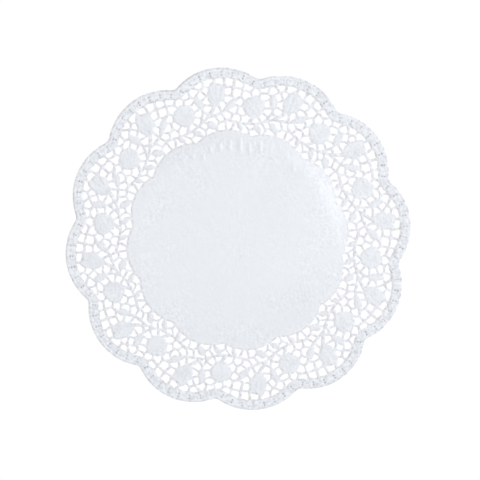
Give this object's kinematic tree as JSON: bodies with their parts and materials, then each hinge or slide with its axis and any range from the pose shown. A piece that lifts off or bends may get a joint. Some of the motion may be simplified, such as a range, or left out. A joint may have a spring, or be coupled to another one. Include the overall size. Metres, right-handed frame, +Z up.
{
  "type": "paper lace doily",
  "caption": "Round paper lace doily with a scalloped hem, a die-cut net with pressed roses, carnations and leaves, and a plain centre; it lies flat.",
  "frame": {"origin": "middle of the underside, on the surface that the doily lies on", "axes": "+Z up out of the pressed face, +X towards the crest of one scallop"},
  "size_m": [0.3, 0.3, 0.0016],
  "materials": {
    "paper": "matte"
  },
  "bodies": {
    "root": {"lace_doily": "paper"}
  },
  "joints": []
}
